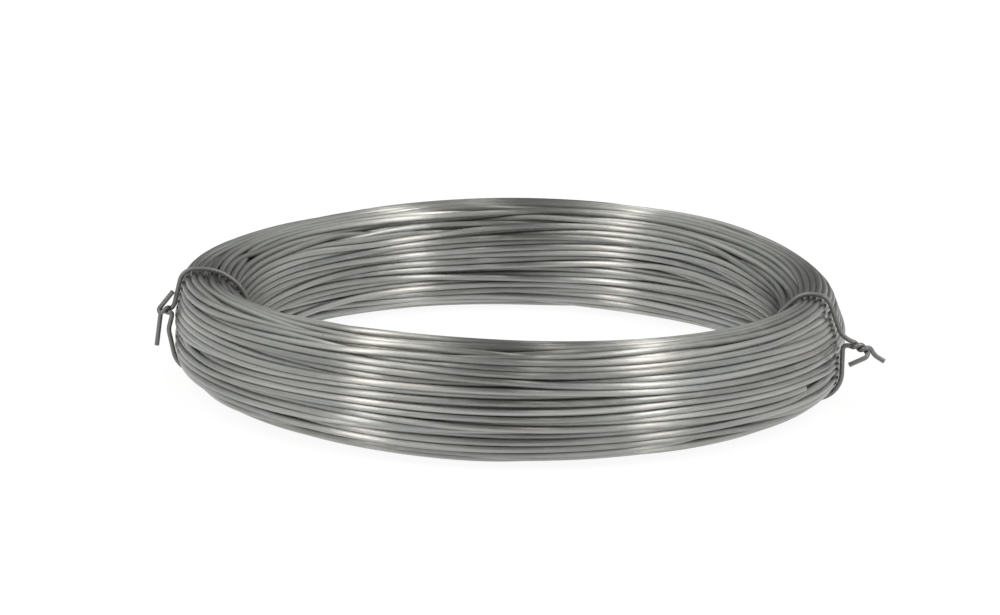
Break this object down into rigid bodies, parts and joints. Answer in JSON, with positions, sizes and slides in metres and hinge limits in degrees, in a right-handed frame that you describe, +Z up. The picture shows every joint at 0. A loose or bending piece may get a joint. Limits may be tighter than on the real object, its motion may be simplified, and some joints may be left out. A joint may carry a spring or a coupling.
{
  "type": "coil of galvanized steel wire",
  "caption": "Coil of round galvanized steel wire wound into a flat ring with an open bore and held by two twisted wire ties.",
  "frame": {"origin": "on the coil's axis, in the plane that the coil lies on", "axes": "+Z up along the coil's axis; the two ties sit near -X and +X, and +Y points away from the side that they lean towards"},
  "size_m": [0.2299, 0.216, 0.0355],
  "materials": {
    "galvanized_wire": "bright galvanized, drawn smooth, with a satin zinc sheen",
    "tie_wire": "soft annealed tie wire, dull dark grey"
  },
  "bodies": {
    "root": {"wire_coil": "galvanized_wire", "left_tie": "tie_wire", "right_tie": "tie_wire"}
  },
  "joints": []
}
